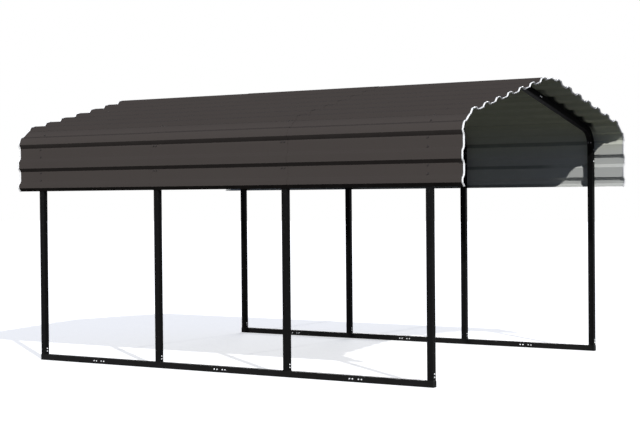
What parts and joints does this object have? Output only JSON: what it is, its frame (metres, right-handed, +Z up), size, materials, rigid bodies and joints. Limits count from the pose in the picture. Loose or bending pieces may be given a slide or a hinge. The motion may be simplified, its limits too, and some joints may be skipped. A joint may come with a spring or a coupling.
{
  "type": "carport",
  "caption": "Open carport: square-tube frames with bent eaves on base rails, under a low gabled roof of ribbed sheet that turns down along both sides.",
  "frame": {"origin": "on the ground, at the middle of the plan", "axes": "+X across the carport to the right seen from the front end, +Y along the length from the front end to the rear, +Z up"},
  "size_m": [3.1798, 4.593, 2.4422],
  "materials": {
    "frame_tube": "black powder coat, satin",
    "end_plug": "black moulded plastic",
    "roof_sheet": "charcoal-brown coil coat outside, grey backing coat inside"
  },
  "bodies": {
    "root": {"left_rail_front": "frame_tube", "left_rail_front_mid": "frame_tube", "left_rail_rear_mid": "frame_tube", "left_rail_rear": "frame_tube", "right_rail_front": "frame_tube", "right_rail_front_mid": "frame_tube", "right_rail_rear_mid": "frame_tube", "right_rail_rear": "frame_tube", "left_post_front": "frame_tube", "left_post_front_mid": "frame_tube", "left_post_rear_mid": "frame_tube", "left_post_rear": "frame_tube", "right_post_front": "frame_tube", "right_post_front_mid": "frame_tube", "right_post_rear_mid": "frame_tube", "right_post_rear": "frame_tube", "left_rafter_front": "frame_tube", "left_rafter_front_mid": "frame_tube", "left_rafter_rear_mid": "frame_tube", "left_rafter_rear": "frame_tube", "right_rafter_front": "frame_tube", "right_rafter_front_mid": "frame_tube", "right_rafter_rear_mid": "frame_tube", "right_rafter_rear": "frame_tube", "peak_front": "frame_tube", "peak_front_mid": "frame_tube", "peak_rear_mid": "frame_tube", "peak_rear": "frame_tube", "rail_end_plugs": "end_plug", "front_left_eave_sheet": "roof_sheet", "front_right_eave_sheet": "roof_sheet", "middle_left_eave_sheet": "roof_sheet", "middle_right_eave_sheet": "roof_sheet", "rear_left_eave_sheet": "roof_sheet", "rear_right_eave_sheet": "roof_sheet", "front_left_slope_sheet": "roof_sheet", "front_right_slope_sheet": "roof_sheet", "middle_left_slope_sheet": "roof_sheet", "middle_right_slope_sheet": "roof_sheet", "rear_left_slope_sheet": "roof_sheet", "rear_right_slope_sheet": "roof_sheet", "front_ridge_sheet": "roof_sheet", "middle_ridge_sheet": "roof_sheet", "rear_ridge_sheet": "roof_sheet"}
  },
  "joints": []
}
